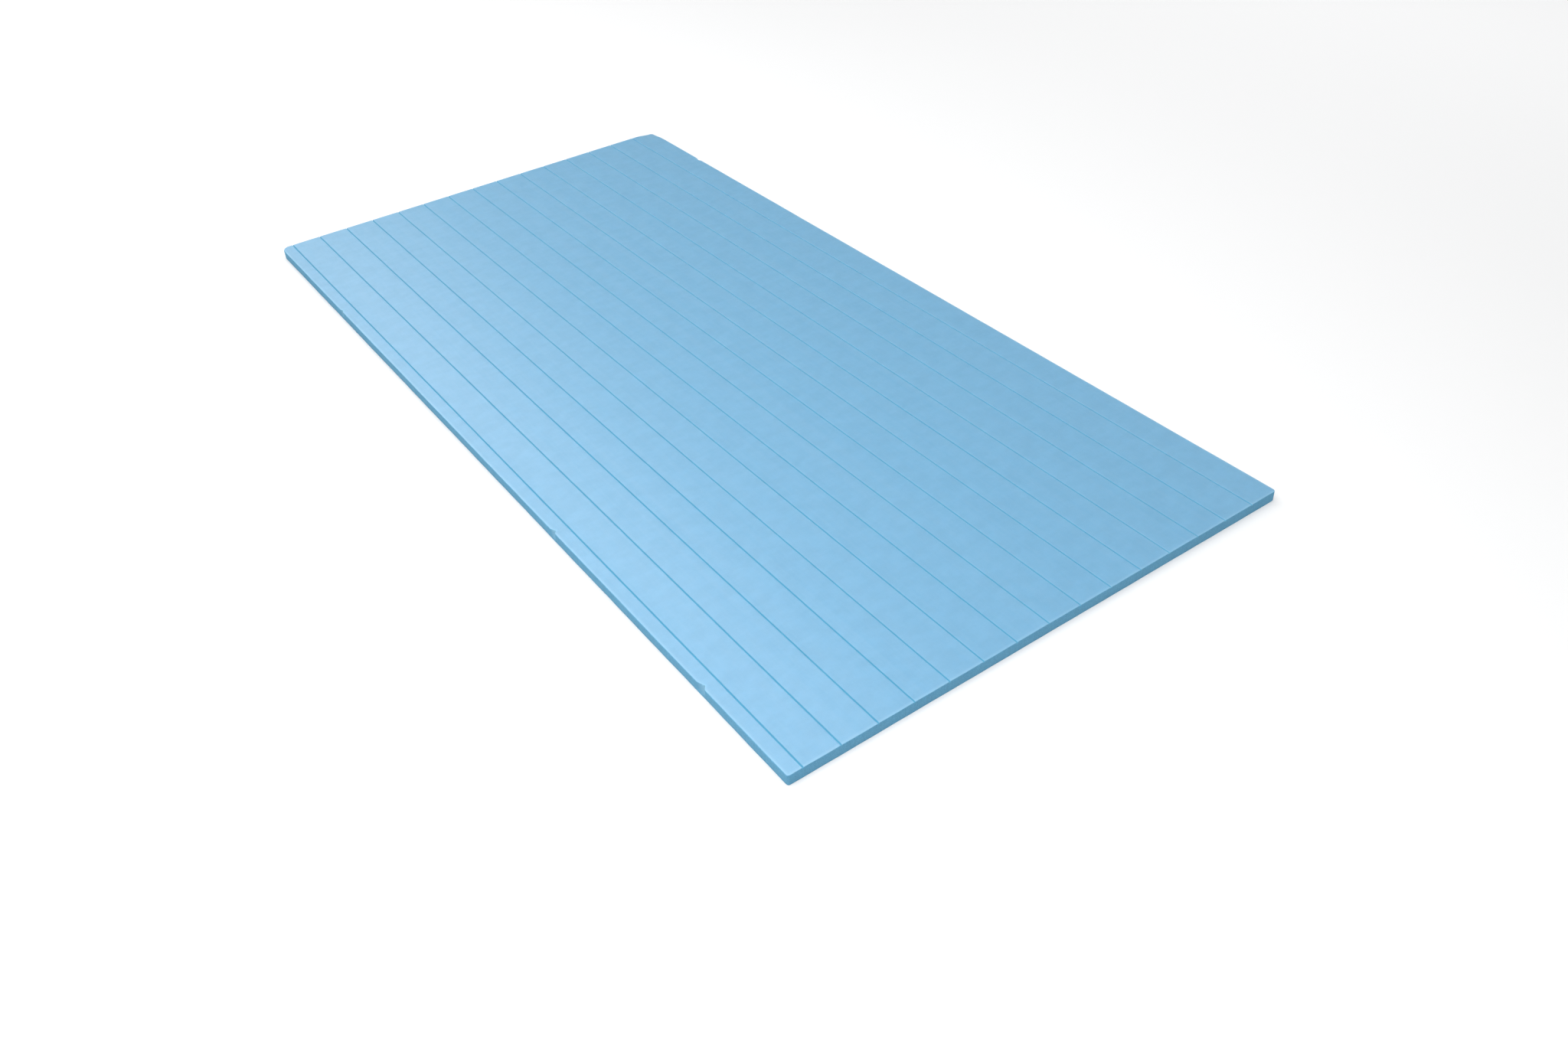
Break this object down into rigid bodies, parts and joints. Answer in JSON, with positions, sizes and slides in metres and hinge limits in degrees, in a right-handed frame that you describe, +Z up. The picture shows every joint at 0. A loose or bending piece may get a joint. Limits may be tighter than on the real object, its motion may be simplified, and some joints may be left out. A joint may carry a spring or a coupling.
{
  "type": "xps insulation board",
  "caption": "Thin flat board of pale blue extruded polystyrene foam with narrow grooves along its top face, for insulating floors, walls and behind tiles.",
  "frame": {"origin": "middle of the underside, on the surface that the board lies on", "axes": "+X along the board's length and its grooves, +Y across its width, +Z up out of the grooved face"},
  "size_m": [1.2, 0.6, 0.012],
  "materials": {
    "blue_foam": "closed-cell foam with a faint satin skin"
  },
  "bodies": {
    "root": {"xps_board": "blue_foam"}
  },
  "joints": []
}
